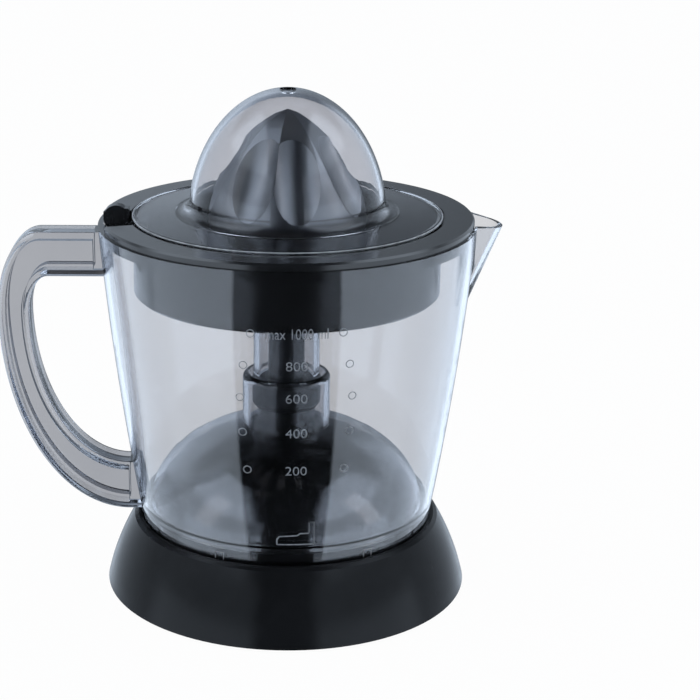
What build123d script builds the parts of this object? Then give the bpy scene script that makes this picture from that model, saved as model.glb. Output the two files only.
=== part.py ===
import math
import os

from build123d import *

os.makedirs("parts", exist_ok=True)

# Citrus press juicer, millimetres. Z is up and the table is z = 0. The spindle axis is the Z axis,
# +X is the spout side, -X the handle side and -Y the front.

# Clearances
fit_gap = 0.05
drive_gap = 0.1
run_gap = 0.06
slide_gap = 0.3
loose_gap = 1.0

# Base
foot_drop = 1.2
base_r = 75.8
collar_r = 63.6
collar_z = 30.6
collar_round = 1.0
skirt_bulge = 1.4
base_wall = 2.6
seat_depth = 9.6
tower_r = 12.0
tower_wall = 3.5
boss_drop = 8.0

# Bottom plate, feet and screws
plate_t = 2.5
foot_r = 6.0
foot_sink = 0.9
foot_circle_r = 60.0
pad_r = 9.0
post_r = 4.0
screw_r = 1.5
screw_head_r = 3.0
screw_head_h = 1.6
screw_length = 10.0

# Cord gland
gland_r = 5.0
gland_bore_r = 3.2
gland_length = 9.0
gland_height = 10.0

# Jug
jug_wall = 2.2
jug_rim_r = 76.6
jug_rim_z = 155.5
jug_bulge = 1.5
floor_lift = 6.9
dome_lift = 3.4
dome_edge = 2.0
floor_round = 2.0
dome_h = 37.5
tube_low_r = 18.2
shoulder_z = 92.0
shoulder_round = 2.5
tube_up_r = 13.7
tube_top_drop = 16.5
rib_count = 6
rib_w = 1.6
rib_depth = 1.5
spout_reach = 11.2
spout_root = 4.0
spout_half_w = 15.6
spout_nose_r = 10.5
spout_drop = 35.0
spout_rise = 0.9
spout_dip = 2.1
spout_wall = 2.0

# Handle
handle_reach = 118.4
handle_drop = 3.3
handle_round = 2.0
handle_depth = 15.0
handle_grip = 13.0
handle_end_t = 18.5
handle_low_t = 21.0
handle_belly = 85.9
handle_corner = 18.0
handle_bend = 8.0
handle_web = 5.0
handle_flange = 3.2

# Strainer basket
ring_inset = 1.1
ring_t = 3.0
ring_round = 0.8
bowl_inset = 13.0
basket_depth = 28.0
basket_wall = 2.2
brim_sink = 1.4
skirt_drop = 4.5
skirt_t = 1.6
hub_wall = 2.2
hub_roof_t = 5.0
hub_lip = 2.0
slot_groups = 15
slot_w = 1.8
slot_inner_r = 24.0

# Pulp regulator and lever
lever_angle = 180.0
lever_travel = 12.0
disc_t = 1.5
riser_t = 2.8
riser_w = 9.0
arm_t = 3.1
tab_r = 5.2
tab_t = 5.0
tab_rise = -1.2
tray_drop = 5.1
tray_t = 1.4

# Reamer and shaft
shaft_r = 7.5
shaft_hex = 10.5
bush_wall = 2.8
bush_length = 9.0
reamer_r = 32.3
reamer_h = 55.1
flute_r = 14.0
flute_depth = 5.1
flute_pair = 19.0
flute_turn = -11.0
reamer_wall = 2.4

# Lid
brim_inset = 12.5
brim_t = 2.0
brim_rise = 1.4
bead_r = 1.2
bead_rise = 0.4
lid_side_gap = 6.0
lid_head_gap = 5.8
lid_wall = 2.0
lid_flare = 5.0
lid_drop = 2.5
dimple_r = 3.2
dimple_depth = 1.3

# Drive
press_travel = 2.5
cup_r = 14.2
cup_low_z = 78.0
cup_h = 11.0
cup_chamfer = 2.0
spindle_r = 6.2
pin_hex = 8.0
pin_h = 15.0
gear_hex = 9.6
journal_r = 4.0
bush_t = 2.4
washer_t = 1.2
deck_z = 30.0
deck_t = 2.5
deck_circle_r = 43.0
deck_post_r = 3.5
gear_module = 1.0
pressure_angle = 25.0
tooth_top = 0.8
tooth_root = 1.1
backlash = 0.12
pinion_teeth = 12
wheel_teeth = 36
idler_teeth = 12
output_teeth = 40
motor_x = 31.0
motor_r = 19.5
motor_h = 22.0
can_t = 1.0
rotor_r = 9.0
motor_shaft_r = 2.0
wheel_w = 5.0
output_w = 5.0
axle_r = 2.0
spring_r = 4.8
wire_r = 0.55
spring_turns = 5
spring_h = 9.8
seat_plate_t = 2.0
seat_cup_h = 5.0
switch_x = -20.0
switch_l = 16.0
switch_w = 8.0
switch_h = 10.5
button_r = 1.5


def radial_plane(angle):
    """Upright plane through the Z axis: x runs outward at the angle, y runs up."""
    turn = math.radians(angle)
    out = (math.cos(turn), math.sin(turn), 0)
    return Plane(origin=(0, 0, 0), x_dir=out, z_dir=(math.sin(turn), -math.cos(turn), 0))


def bulged_r(z, r_low, z_low, r_high, z_high, bulge):
    """Radius at height z on a line between two points that bows outward by the bulge."""
    share = (z - z_low) / (z_high - z_low)
    return r_low + (r_high - r_low) * share + 4 * bulge * share * (1 - share)


def ellipse_z(r, centre_z, r_axis, z_axis):
    """Height at radius r on the upper half of an ellipse about the axis."""
    return centre_z + z_axis * math.sqrt(max(1 - (r / r_axis) ** 2, 0))


def ellipse_angle(r, r_axis):
    """Parameter angle in degrees of the point at radius r on an ellipse about the axis."""
    return math.degrees(math.acos(min(r / r_axis, 1)))


def gear_outline(teeth, first_angle):
    """Corners of a spur gear's outline, its flanks on the involute, one tooth at the first angle."""
    pitch_r = gear_module * teeth / 2
    involute_r = pitch_r * math.cos(math.radians(pressure_angle))
    tip_r = pitch_r + tooth_top * gear_module
    root_r = pitch_r - tooth_root * gear_module
    start_r = max(involute_r, root_r)

    def roll(r):
        reach = math.sqrt(max((r / involute_r) ** 2 - 1, 0))
        return reach - math.atan(reach)

    half = math.pi / (2 * teeth) - backlash / (2 * pitch_r) + roll(pitch_r)
    steps = [start_r + (tip_r - start_r) * k / 3 for k in range(4)]
    flank = [(r, half - roll(r)) for r in steps]
    if root_r < start_r:
        flank.insert(0, (root_r, half - roll(start_r)))
    corners = []
    for tooth in range(teeth):
        middle = math.radians(first_angle) + 2 * math.pi * tooth / teeth
        side = [(r, middle - a) for r, a in flank] + [(r, middle + a) for r, a in reversed(flank)]
        corners += [(r * math.cos(a), r * math.sin(a)) for r, a in side]
    return corners


# Shared heights and radii
skirt_low_z = foot_drop
seat_z = collar_z - seat_depth
floor_z = collar_z + floor_lift
dome_z = collar_z + dome_lift
jug_foot_r = collar_r - 2.9
collar_in_r = jug_foot_r + slide_gap
foot_in_r = jug_foot_r - jug_wall
tube_low_in_r = tube_low_r - jug_wall
tube_up_in_r = tube_up_r - jug_wall
tube_top_z = jug_rim_z - tube_top_drop
ring_r = jug_rim_r - ring_inset
basket_r = ring_r - bowl_inset
brim_r = ring_r - brim_inset
ring_top_z = jug_rim_z + ring_t
brim_z = ring_top_z - brim_sink
basket_low_z = jug_rim_z - basket_depth
basket_floor_z = basket_low_z + basket_wall
basket_in_r = basket_r - basket_wall
cup_top_z = cup_low_z + cup_h
tower_z = cup_low_z + 3.0
ceiling_z = tower_z + press_travel + loose_gap
plate_low_z = skirt_low_z + 0.5
plate_top_z = plate_low_z + plate_t
ledge_low_z = seat_z - base_wall


def skirt_r(z):
    """Outer radius of the base's skirt at height z."""
    return bulged_r(z, base_r, skirt_low_z, collar_r, collar_z, skirt_bulge)


def jug_r(z):
    """Outer radius of the jug's wall at height z."""
    return bulged_r(z, jug_foot_r, collar_z, jug_rim_r, jug_rim_z, jug_bulge)


jug_dome_r = jug_r(floor_z) - jug_wall - dome_edge
jug_dome_in_r = jug_dome_r - jug_wall
jug_dome_in_h = dome_h - jug_wall
base_dome_r = jug_dome_in_r - loose_gap
base_dome_h = jug_dome_in_h - loose_gap
base_dome_in_r = base_dome_r - base_wall
base_dome_in_h = base_dome_h - base_wall
boss_low_z = dome_z + base_dome_in_h - boss_drop
tower_bore_r = tower_r - tower_wall
spindle_bush_r = tower_bore_r - fit_gap

# Gear train positions
first_distance = gear_module * (pinion_teeth + wheel_teeth) / 2
second_distance = gear_module * (idler_teeth + output_teeth) / 2
idler_x = (second_distance ** 2 - first_distance ** 2 + motor_x ** 2) / (2 * motor_x)
idler_y = math.sqrt(second_distance ** 2 - idler_x ** 2)
idler_angle = math.degrees(math.atan2(idler_y, idler_x))
mesh_angle = math.degrees(math.atan2(idler_y, idler_x - motor_x))
deck_top_z = deck_z + deck_t
wheel_z = deck_top_z + 1.5
small_z = wheel_z + wheel_w
output_z = small_z + press_travel + loose_gap
small_top_z = output_z + output_w + 0.5
gear_hub_z = boss_low_z - washer_t
spring_seat_z = plate_top_z + spring_h
spindle_low_z = spring_seat_z + seat_plate_t
arm_z = spindle_low_z + seat_cup_h - 1.6
post_angles = (45, 135, 225, 315)
deck_angles = (112, 205, 318)

# Base housing: skirt, collar, groove for the jug's foot, dome and tower
with BuildPart() as base_housing:
    with BuildSketch(Plane.XZ):
        with BuildLine():
            mid_z = (skirt_low_z + collar_z) / 2
            low_edge = (base_r, skirt_low_z)
            high_edge = (skirt_r(collar_z - collar_round), collar_z - collar_round)
            ThreePointArc(low_edge, (skirt_r(mid_z), mid_z), high_edge)
            Line(high_edge, (collar_r - collar_round, collar_z))
            Line((collar_r - collar_round, collar_z), (collar_in_r, collar_z))
            Line((collar_in_r, collar_z), (collar_in_r, seat_z))
            Line((collar_in_r, seat_z), (base_dome_r, seat_z))
            Line((base_dome_r, seat_z), (base_dome_r, dome_z))
            outer_dome = EllipticalCenterArc(
                (0, dome_z), base_dome_r, base_dome_h, 0, arc_size=ellipse_angle(tower_r, base_dome_r)
            )
            Line(outer_dome @ 1, (tower_r, tower_z))
            Line((tower_r, tower_z), (tower_bore_r, tower_z))
            Line((tower_bore_r, tower_z), (tower_bore_r, boss_low_z))
            Line((tower_bore_r, boss_low_z), (tower_r, boss_low_z))
            inner_dome = EllipticalCenterArc(
                (0, dome_z), base_dome_in_r, base_dome_in_h, 0,
                arc_size=ellipse_angle(tower_r, base_dome_in_r),
            )
            Line((tower_r, boss_low_z), inner_dome @ 1)
            Line((base_dome_in_r, dome_z), (base_dome_in_r, ledge_low_z))
            in_high = (skirt_r(ledge_low_z) - base_wall, ledge_low_z)
            in_mid_z = (skirt_low_z + ledge_low_z) / 2
            Line((base_dome_in_r, ledge_low_z), in_high)
            ThreePointArc(
                in_high, (skirt_r(in_mid_z) - base_wall, in_mid_z), (base_r - base_wall, skirt_low_z)
            )
            Line((base_r - base_wall, skirt_low_z), low_edge)
        make_face()
    revolve(axis=Axis.Z)
    # posts for the bottom plate
    with BuildSketch(Plane.XY.offset(plate_top_z)):
        with PolarLocations(foot_circle_r, 4, 45):
            Circle(post_r)
    extrude(amount=ledge_low_z + base_wall / 2 - plate_top_z)
    # posts for the gearbox plate, up to the dome
    for angle in deck_angles:
        with BuildSketch(Plane.XY.offset(deck_top_z)):
            with PolarLocations(deck_circle_r, 1, angle):
                Circle(deck_post_r)
        roof_z = ellipse_z(deck_circle_r - deck_post_r, dome_z, base_dome_in_r, base_dome_in_h)
        wall_z = ellipse_z(deck_circle_r + deck_post_r, dome_z, base_dome_r, base_dome_h)
        extrude(amount=min(roof_z, wall_z) - deck_top_z)
    # pilot holes of both sets of posts
    with BuildSketch(Plane.XY.offset(plate_low_z)):
        with PolarLocations(foot_circle_r, 4, 45):
            Circle(screw_r + fit_gap)
    extrude(amount=screw_length + 1, mode=Mode.SUBTRACT)
    for angle in deck_angles:
        with BuildSketch(Plane.XY.offset(deck_top_z)):
            with PolarLocations(deck_circle_r, 1, angle):
                Circle(screw_r + fit_gap)
        extrude(amount=screw_length - deck_t, mode=Mode.SUBTRACT)
    # hole for the cord gland
    with BuildSketch(Plane(origin=(0, base_r, gland_height), z_dir=(0, 1, 0))):
        Circle(gland_r + fit_gap)
    extrude(amount=-14, mode=Mode.SUBTRACT)
base_housing.part.label = "base_housing"
export_step(base_housing.part, "parts/base_housing.step")

# Bottom plate with the tube that guides the spring
plate_r = skirt_r(plate_top_z) - base_wall - slide_gap - 0.3
guide_in_r = journal_r + bush_t + slide_gap + 0.6
guide_top_z = spring_seat_z + 2.4
with BuildPart() as base_plate:
    with BuildSketch(Plane.XY.offset(plate_low_z)):
        Circle(plate_r)
    extrude(amount=plate_t)
    with BuildSketch(Plane.XY.offset(plate_top_z)):
        Circle(guide_in_r + 1.8)
        Circle(guide_in_r, mode=Mode.SUBTRACT)
    extrude(amount=guide_top_z - plate_top_z)
    with BuildSketch(Plane.XY.offset(plate_low_z)):
        with PolarLocations(foot_circle_r, 4, 45):
            Circle(screw_r + fit_gap)
    extrude(amount=plate_t, mode=Mode.SUBTRACT)
    with BuildSketch(Plane.XY.offset(plate_low_z)):
        with PolarLocations(foot_circle_r, 4, 45):
            Circle(screw_head_r + slide_gap)
    extrude(amount=screw_head_h, mode=Mode.SUBTRACT)
    with BuildSketch(Plane.XY.offset(plate_low_z)):
        Circle(pad_r + fit_gap)
        with PolarLocations(foot_circle_r, 4):
            Circle(foot_r + fit_gap)
    extrude(amount=foot_sink, mode=Mode.SUBTRACT)
    # air slots under the motor
    with BuildSketch(Plane.XY.offset(plate_low_z)):
        with Locations((motor_x, 0)):
            with GridLocations(7, 0, 5, 1):
                SlotOverall(18, 2.4, rotation=90)
    extrude(amount=plate_t, mode=Mode.SUBTRACT)
base_plate.part.label = "base_plate"
export_step(base_plate.part, "parts/base_plate.step")

# Rubber feet
with BuildPart() as rubber_feet:
    with BuildSketch():
        with PolarLocations(foot_circle_r, 4):
            Circle(foot_r)
    extrude(amount=plate_low_z + foot_sink)
    chamfer(rubber_feet.edges().group_by(Axis.Z)[0], 0.5)
rubber_feet.part.label = "rubber_feet"
export_step(rubber_feet.part, "parts/rubber_feet.step")

# Rubber pad under the spring, in the middle of the bottom plate
with BuildPart() as centre_pad:
    with BuildSketch():
        Circle(pad_r)
    extrude(amount=plate_low_z + foot_sink)
    chamfer(centre_pad.edges().group_by(Axis.Z)[0], 0.5)
centre_pad.part.label = "centre_pad"
export_step(centre_pad.part, "parts/centre_pad.step")

# Screws of the bottom plate
with BuildPart() as plate_screws:
    with BuildSketch(Plane.XY.offset(plate_low_z)):
        with PolarLocations(foot_circle_r, 4, 45):
            Circle(screw_head_r)
    extrude(amount=screw_head_h)
    with BuildSketch(Plane.XY.offset(plate_low_z + screw_head_h)):
        with PolarLocations(foot_circle_r, 4, 45):
            Circle(screw_r)
    extrude(amount=screw_length - screw_head_h)
    with BuildSketch(Plane.XY.offset(plate_low_z)):
        with PolarLocations(foot_circle_r, 4, 45):
            Rectangle(0.7, screw_head_r * 1.4)
            Rectangle(screw_head_r * 1.4, 0.7)
    extrude(amount=screw_head_h / 2, mode=Mode.SUBTRACT)
plate_screws.part.label = "plate_screws"
export_step(plate_screws.part, "parts/plate_screws.step")

# Cord gland in the back of the skirt
gland_out_y = skirt_r(gland_height) + 1.5
with BuildPart() as cord_gland:
    with BuildSketch(Plane(origin=(0, gland_out_y, gland_height), z_dir=(0, -1, 0))):
        Circle(gland_r)
        Circle(gland_bore_r, mode=Mode.SUBTRACT)
    extrude(amount=gland_length)
    outer_rim = cord_gland.edges().filter_by(GeomType.CIRCLE).group_by(Axis.Y)[-1].sort_by(SortBy.RADIUS)
    fillet(outer_rim[-1], 0.8)
cord_gland.part.label = "cord_gland"
export_step(cord_gland.part, "parts/cord_gland.step")

# Gearbox plate, its bush boss and holes
plate_bush_r = journal_r + bush_t
deck_r = base_dome_in_r - loose_gap
with BuildPart() as gearbox_plate:
    with BuildSketch(Plane.XY.offset(deck_z)):
        Circle(deck_r)
    extrude(amount=deck_t)
    with BuildSketch(Plane.XY.offset(deck_z - 3)):
        Circle(plate_bush_r + 2)
    extrude(amount=3)
    with BuildSketch(Plane.XY.offset(deck_z - 3)):
        Circle(plate_bush_r + fit_gap)
        with Locations((motor_x, 0)):
            Circle(motor_shaft_r + 2)
        with Locations((idler_x, idler_y)):
            Circle(axle_r + fit_gap)
        for angle in deck_angles:
            with PolarLocations(deck_circle_r, 1, angle):
                Circle(screw_r + fit_gap)
    extrude(amount=deck_t + 3, mode=Mode.SUBTRACT)
gearbox_plate.part.label = "gearbox_plate"
export_step(gearbox_plate.part, "parts/gearbox_plate.step")

# Screws of the gearbox plate
with BuildPart() as gearbox_screws:
    for angle in deck_angles:
        with BuildSketch(Plane.XY.offset(deck_z - screw_head_h)):
            with PolarLocations(deck_circle_r, 1, angle):
                Circle(screw_head_r)
        extrude(amount=screw_head_h)
        with BuildSketch(Plane.XY.offset(deck_z)):
            with PolarLocations(deck_circle_r, 1, angle):
                Circle(screw_r)
        extrude(amount=screw_length - 0.5)
gearbox_screws.part.label = "gearbox_screws"
export_step(gearbox_screws.part, "parts/gearbox_screws.step")

# Plate bush and tower bush
with BuildPart() as plate_bush:
    with BuildSketch(Plane.XY.offset(deck_z - 3)):
        Circle(plate_bush_r)
        Circle(journal_r + run_gap, mode=Mode.SUBTRACT)
    extrude(amount=deck_t + 3)
plate_bush.part.label = "plate_bush"
export_step(plate_bush.part, "parts/plate_bush.step")

with BuildPart() as spindle_bush:
    with BuildSketch(Plane.XY.offset(boss_low_z)):
        Circle(spindle_bush_r)
        Circle(spindle_r + run_gap, mode=Mode.SUBTRACT)
    extrude(amount=tower_z - boss_low_z)
spindle_bush.part.label = "spindle_bush"
export_step(spindle_bush.part, "parts/spindle_bush.step")

# Motor: can, winding, rotor and shaft with the pinion
motor_low_z = deck_z - motor_h
rotor_gap = 0.5
with BuildPart() as motor_can:
    with Locations((motor_x, 0, motor_low_z)):
        Cylinder(motor_r, motor_h, align=(Align.CENTER, Align.CENTER, Align.MIN))
    with Locations((motor_x, 0, motor_low_z + can_t)):
        Cylinder(
            motor_r - can_t, motor_h - 2 * can_t, align=(Align.CENTER, Align.CENTER, Align.MIN),
            mode=Mode.SUBTRACT,
        )
    with Locations((motor_x, 0, motor_low_z)):
        Cylinder(
            motor_shaft_r + run_gap, motor_h, align=(Align.CENTER, Align.CENTER, Align.MIN),
            mode=Mode.SUBTRACT,
        )
motor_can.part.label = "motor_can"
export_step(motor_can.part, "parts/motor_can.step")

with BuildPart() as motor_coil:
    with BuildSketch(Plane.XY.offset(motor_low_z + can_t)):
        with Locations((motor_x, 0)):
            Circle(motor_r - can_t - fit_gap)
            Circle(rotor_r + rotor_gap, mode=Mode.SUBTRACT)
    extrude(amount=motor_h - 2 * can_t)
    with BuildSketch(Plane.XY.offset(motor_low_z + can_t)):
        with Locations((motor_x, 0)):
            with PolarLocations((rotor_r + motor_r) / 2, 6):
                SlotOverall(motor_r - rotor_r - 5, 2.2)
    extrude(amount=motor_h - 2 * can_t, mode=Mode.SUBTRACT)
motor_coil.part.label = "motor_coil"
export_step(motor_coil.part, "parts/motor_coil.step")

with BuildPart() as motor_rotor:
    with Locations((motor_x, 0, motor_low_z + can_t + 1.5)):
        Cylinder(rotor_r, motor_h - 2 * can_t - 3, align=(Align.CENTER, Align.CENTER, Align.MIN))
    with Locations((motor_x, 0, motor_low_z)):
        Cylinder(
            motor_shaft_r, wheel_z + wheel_w - motor_low_z, align=(Align.CENTER, Align.CENTER, Align.MIN)
        )
motor_rotor.part.label = "motor_rotor"
export_step(motor_rotor.part, "parts/motor_rotor.step")

with BuildPart() as motor_pinion:
    with BuildSketch(Plane(origin=(motor_x, 0, wheel_z))):
        with BuildLine():
            Polyline(*gear_outline(pinion_teeth, mesh_angle), close=True)
        make_face()
        Circle(motor_shaft_r + fit_gap, mode=Mode.SUBTRACT)
    extrude(amount=wheel_w)
motor_pinion.part.label = "motor_pinion"
export_step(motor_pinion.part, "parts/motor_pinion.step")

# Compound idler and its axle
with BuildPart() as idler_gear:
    with BuildSketch(Plane(origin=(idler_x, idler_y, wheel_z))):
        with BuildLine():
            Polyline(*gear_outline(wheel_teeth, mesh_angle + 180 + 180 / wheel_teeth), close=True)
        make_face()
    extrude(amount=wheel_w)
    with BuildSketch(Plane(origin=(idler_x, idler_y, small_z))):
        with BuildLine():
            Polyline(*gear_outline(idler_teeth, idler_angle + 180 + 180 / idler_teeth), close=True)
        make_face()
    extrude(amount=small_top_z - small_z)
    with BuildSketch(Plane(origin=(idler_x, idler_y, wheel_z))):
        Circle(axle_r + run_gap)
    extrude(amount=small_top_z - wheel_z, mode=Mode.SUBTRACT)
idler_gear.part.label = "idler_gear"
export_step(idler_gear.part, "parts/idler_gear.step")

with BuildPart() as idler_axle:
    with BuildSketch(Plane(origin=(idler_x, idler_y, deck_z))):
        Circle(axle_r)
    extrude(amount=small_top_z + 1.5 - deck_z)
    with BuildSketch(Plane(origin=(idler_x, idler_y, deck_top_z))):
        Circle(axle_r + 1.5)
    extrude(amount=wheel_z - deck_top_z - slide_gap)
idler_axle.part.label = "idler_axle"
export_step(idler_axle.part, "parts/idler_axle.step")

# Drive spindle: journal, hexagon for the gear, round neck and hexagon pin
hex_corner = 2 / math.sqrt(3)
with BuildPart() as drive_spindle:
    with BuildSketch(Plane.XY.offset(spindle_low_z)):
        Circle(journal_r)
    extrude(amount=output_z - spindle_low_z)
    with BuildSketch(Plane.XY.offset(output_z)):
        RegularPolygon(gear_hex / 2 * hex_corner, 6)
    extrude(amount=gear_hub_z - output_z)
    with BuildSketch(Plane.XY.offset(gear_hub_z)):
        Circle(spindle_r)
    extrude(amount=ceiling_z - gear_hub_z)
    with BuildSketch(Plane.XY.offset(ceiling_z)):
        RegularPolygon(pin_hex / 2 * hex_corner, 6)
    extrude(amount=cup_top_z + pin_h - ceiling_z)
    chamfer(drive_spindle.faces().sort_by(Axis.Z)[-1].edges(), 1.2)
drive_spindle.part.label = "drive_spindle"
export_step(drive_spindle.part, "parts/drive_spindle.step")

with BuildPart() as output_gear:
    with BuildSketch(Plane.XY.offset(output_z)):
        with BuildLine():
            Polyline(*gear_outline(output_teeth, idler_angle), close=True)
        make_face()
    extrude(amount=output_w)
    with BuildSketch(Plane.XY.offset(output_z + output_w)):
        Circle(gear_hex * 0.85)
    extrude(amount=gear_hub_z - output_z - output_w)
    with BuildSketch(Plane.XY.offset(output_z)):
        RegularPolygon((gear_hex / 2 + fit_gap) * hex_corner, 6)
    extrude(amount=gear_hub_z - output_z, mode=Mode.SUBTRACT)
    with BuildSketch(Plane.XY.offset(output_z)):
        with PolarLocations(output_teeth * gear_module * 0.33, 6, 30):
            Circle(output_teeth * gear_module * 0.07)
    extrude(amount=output_w, mode=Mode.SUBTRACT)
output_gear.part.label = "output_gear"
export_step(output_gear.part, "parts/output_gear.step")

with BuildPart() as gear_clip:
    with BuildSketch(Plane.XY.offset(output_z - 1)):
        Circle(journal_r + 2)
        Circle(journal_r + fit_gap, mode=Mode.SUBTRACT)
    extrude(amount=1)
gear_clip.part.label = "gear_clip"
export_step(gear_clip.part, "parts/gear_clip.step")

# Coupling cup: bell over the tower and seat of the reamer's shaft
with BuildPart() as coupling_cup:
    with BuildSketch(Plane.XZ):
        with BuildLine():
            bell_in_r = tower_r + slide_gap + 0.2
            Polyline(
                (0, ceiling_z),
                (bell_in_r, ceiling_z),
                (bell_in_r, cup_low_z),
                (bell_in_r + 0.3, cup_low_z),
                (cup_r, cup_low_z + cup_chamfer),
                (cup_r, cup_top_z - 0.8),
                (cup_r - 0.8, cup_top_z),
                (0, cup_top_z),
                close=True,
            )
        make_face()
    revolve(axis=Axis.Z)
    with BuildSketch(Plane.XY.offset(ceiling_z)):
        RegularPolygon((pin_hex / 2 + fit_gap) * hex_corner, 6)
    extrude(amount=cup_top_z - ceiling_z, mode=Mode.SUBTRACT)
coupling_cup.part.label = "coupling_cup"
export_step(coupling_cup.part, "parts/coupling_cup.step")

# Thrust washer between the gear's hub and the tower's boss
with BuildPart() as thrust_washer:
    with BuildSketch(Plane.XY.offset(gear_hub_z)):
        Circle(spindle_bush_r)
        Circle(spindle_r + run_gap, mode=Mode.SUBTRACT)
    extrude(amount=washer_t)
thrust_washer.part.label = "thrust_washer"
export_step(thrust_washer.part, "parts/thrust_washer.step")

# Return spring under the spindle
with BuildPart() as return_spring:
    with BuildLine() as spring_path:
        Helix(
            (spring_h - 2 * wire_r) / spring_turns, spring_h - 2 * wire_r, spring_r,
            center=(0, 0, plate_top_z + wire_r),
        )
    with BuildSketch(Plane(origin=spring_path.line @ 0, z_dir=spring_path.line % 0)):
        Circle(wire_r)
    sweep(path=spring_path.line, is_frenet=True)
return_spring.part.label = "return_spring"
export_step(return_spring.part, "parts/return_spring.step")

# Spring seat: cup under the spindle with the arm that works the switch
seat_r = guide_in_r - slide_gap
with BuildPart() as spring_seat:
    with BuildSketch(Plane.XY.offset(spring_seat_z)):
        Circle(seat_r)
    extrude(amount=seat_plate_t + seat_cup_h)
    with BuildSketch(Plane.XY.offset(arm_z)):
        with Locations((switch_x / 2, 0)):
            Rectangle(-switch_x, 5)
        with Locations((switch_x, 0)):
            Circle(2.5)
    extrude(amount=1.6)
    with BuildSketch(Plane.XY.offset(spindle_low_z)):
        Circle(journal_r + run_gap)
    extrude(amount=seat_cup_h, mode=Mode.SUBTRACT)
spring_seat.part.label = "spring_seat"
export_step(spring_seat.part, "parts/spring_seat.step")

# Start switch and its plunger
switch_top_z = plate_top_z + switch_h
with BuildPart() as switch_body:
    with Locations((switch_x, 0, plate_top_z)):
        Box(switch_w, switch_l, switch_h, align=(Align.CENTER, Align.CENTER, Align.MIN))
    with BuildSketch(Plane(origin=(switch_x, 0, switch_top_z))):
        Circle(button_r + run_gap)
    extrude(amount=-switch_h + 1.5, mode=Mode.SUBTRACT)
    side_x = switch_x - switch_w / 2 + 0.5
    with BuildSketch(Plane(origin=(side_x, 0, plate_top_z + 2.2), x_dir=(0, 1, 0), z_dir=(-1, 0, 0))):
        with GridLocations(5, 0, 3, 1):
            Rectangle(2.4, 0.8)
    extrude(amount=4.5)
switch_body.part.label = "switch_body"
export_step(switch_body.part, "parts/switch_body.step")

with BuildPart() as switch_plunger:
    with BuildSketch(Plane(origin=(switch_x, 0, plate_top_z + 2 + press_travel))):
        Circle(button_r)
    extrude(amount=arm_z - plate_top_z - 2 - press_travel)
switch_plunger.part.label = "switch_plunger"
export_step(switch_plunger.part, "parts/switch_plunger.step")

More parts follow.
